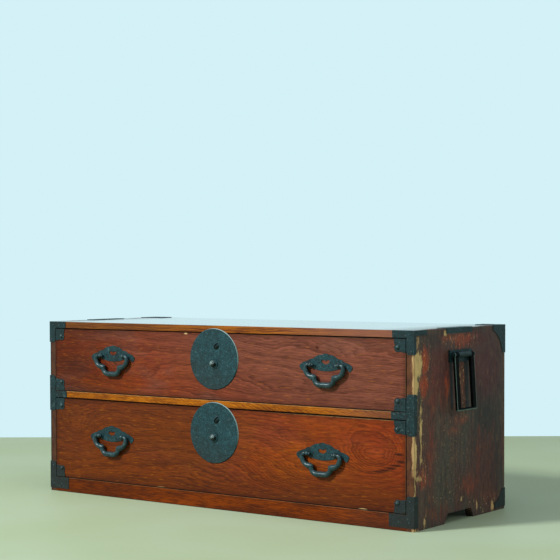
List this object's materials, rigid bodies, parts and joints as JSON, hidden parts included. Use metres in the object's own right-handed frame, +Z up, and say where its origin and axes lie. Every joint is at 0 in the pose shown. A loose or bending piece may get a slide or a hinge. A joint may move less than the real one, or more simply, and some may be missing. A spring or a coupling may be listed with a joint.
{
  "type": "clothing chest section",
  "caption": "Low wooden clothing chest with wide drawers one over the other, round iron lock plates, scalloped bail handles, corner irons and a swinging carrying handle on each side.",
  "frame": {"origin": "on the floor, midway between the two sides and midway between the foremost handle and the back", "axes": "+X to the right seen from the front, +Y to the back, +Z up"},
  "size_m": [1.1852, 0.4462, 0.4563],
  "materials": {
    "front_wood": "figured zelkova under red-brown wiped lacquer",
    "side_wood": "dark lacquered softwood, worn pale along the front corner",
    "top_wood": "dark lacquered softwood",
    "rail_wood": "orange-brown lacquered softwood",
    "inner_wood": "bare paulownia",
    "sheet_iron": "old blued sheet iron, grainy satin",
    "forged_iron": "old blued forged iron, satin",
    "nail_iron": "worn dome nails",
    "lock_iron": "dark lock iron"
  },
  "bodies": {
    "case": {"back_board_lower": "inner_wood", "back_board_upper": "inner_wood", "back_foot_iron_left": "sheet_iron", "back_foot_iron_right": "sheet_iron", "back_top_iron_left": "sheet_iron", "back_top_iron_right": "sheet_iron", "bottom_board": "inner_wood", "bottom_corner_iron_left": "sheet_iron", "bottom_corner_iron_right": "sheet_iron", "bottom_rail": "rail_wood", "carrying_mount_left": "forged_iron", "carrying_mount_right": "forged_iron", "drawer_stops": "inner_wood", "dust_board": "inner_wood", "mid_iron_left": "sheet_iron", "mid_iron_right": "sheet_iron", "mid_rail": "rail_wood", "side_board_left": "side_wood", "side_board_right": "side_wood", "side_strap_left": "sheet_iron", "side_strap_right": "sheet_iron", "top_board": "top_wood", "top_corner_iron_left": "sheet_iron", "top_corner_iron_right": "sheet_iron"},
    "upper_drawer": {"upper_corner_irons": "sheet_iron", "upper_corner_nails": "nail_iron", "upper_drawer_back": "inner_wood", "upper_drawer_bottom": "inner_wood", "upper_drawer_front": "front_wood", "upper_drawer_side_left": "inner_wood", "upper_drawer_side_right": "inner_wood", "upper_handle_plate_left": "sheet_iron", "upper_handle_plate_right": "sheet_iron", "upper_handle_posts": "forged_iron", "upper_keyhole_hood": "sheet_iron", "upper_lock_case": "lock_iron", "upper_lock_plate": "sheet_iron"},
    "upper_bail_left": {"upper_bail_left": "forged_iron"},
    "upper_bail_right": {"upper_bail_right": "forged_iron"},
    "upper_button": {"upper_lock_button": "forged_iron"},
    "upper_bolt": {"upper_lock_bolt": "lock_iron"},
    "lower_drawer": {"lower_corner_irons": "sheet_iron", "lower_corner_nails": "nail_iron", "lower_drawer_back": "inner_wood", "lower_drawer_bottom": "inner_wood", "lower_drawer_front": "front_wood", "lower_drawer_side_left": "inner_wood", "lower_drawer_side_right": "inner_wood", "lower_handle_plate_left": "sheet_iron", "lower_handle_plate_right": "sheet_iron", "lower_handle_posts": "forged_iron", "lower_keyhole_hood": "sheet_iron", "lower_lock_case": "lock_iron", "lower_lock_plate": "sheet_iron"},
    "lower_bail_left": {"lower_bail_left": "forged_iron"},
    "lower_bail_right": {"lower_bail_right": "forged_iron"},
    "lower_button": {"lower_lock_button": "forged_iron"},
    "lower_bolt": {"lower_lock_bolt": "lock_iron"},
    "carrying_bail_left": {"carrying_bail_left": "forged_iron"},
    "carrying_bail_right": {"carrying_bail_right": "forged_iron"}
  },
  "joints": [
    {"name": "upper_drawer_slide", "type": "slide", "parent": "case", "child": "upper_drawer", "axis": [0, -1, 0], "range_m": [0, 0.3]},
    {"name": "upper_bail_left_swing", "type": "hinge", "parent": "upper_drawer", "child": "upper_bail_left", "pos_m": [-0.34201, -0.2158, 0.36899], "axis": [-1, 0, 0], "range_deg": [0, 165]},
    {"name": "upper_bail_right_swing", "type": "hinge", "parent": "upper_drawer", "child": "upper_bail_right", "pos_m": [0.32999, -0.2158, 0.36899], "axis": [-1, 0, 0], "range_deg": [0, 165]},
    {"name": "upper_button_press", "type": "slide", "parent": "upper_drawer", "child": "upper_button", "axis": [0, 1, 0], "range_m": [0, 0.004], "stiffness_N_per_m": 150, "springref_m": -0.002},
    {"name": "upper_bolt_rise", "type": "slide", "parent": "upper_drawer", "child": "upper_bolt", "axis": [0, 0, 1], "range_m": [0, 0.009]},
    {"name": "lower_drawer_slide", "type": "slide", "parent": "case", "child": "lower_drawer", "axis": [0, -1, 0], "range_m": [0, 0.3]},
    {"name": "lower_bail_left_swing", "type": "hinge", "parent": "lower_drawer", "child": "lower_bail_left", "pos_m": [-0.347, -0.2158, 0.15928], "axis": [-1, 0, 0], "range_deg": [0, 165]},
    {"name": "lower_bail_right_swing", "type": "hinge", "parent": "lower_drawer", "child": "lower_bail_right", "pos_m": [0.3205, -0.2158, 0.15928], "axis": [-1, 0, 0], "range_deg": [0, 165]},
    {"name": "lower_button_press", "type": "slide", "parent": "lower_drawer", "child": "lower_button", "axis": [0, 1, 0], "range_m": [0, 0.004], "stiffness_N_per_m": 150, "springref_m": -0.002},
    {"name": "lower_bolt_rise", "type": "slide", "parent": "lower_drawer", "child": "lower_bolt", "axis": [0, 0, 1], "range_m": [0, 0.009]},
    {"name": "carrying_bail_left_swing", "type": "hinge", "parent": "case", "child": "carrying_bail_left", "pos_m": [-0.581, -0.0032, 0.393], "axis": [0, 1, 0], "range_deg": [-4, 170]},
    {"name": "carrying_bail_right_swing", "type": "hinge", "parent": "case", "child": "carrying_bail_right", "pos_m": [0.581, -0.0032, 0.393], "axis": [0, -1, 0], "range_deg": [-4, 170]}
  ],
  "couplings": [
    {"joint": "upper_bolt_rise", "follows": "upper_button_press", "ratio": 2.25},
    {"joint": "lower_bolt_rise", "follows": "lower_button_press", "ratio": 2.25}
  ]
}
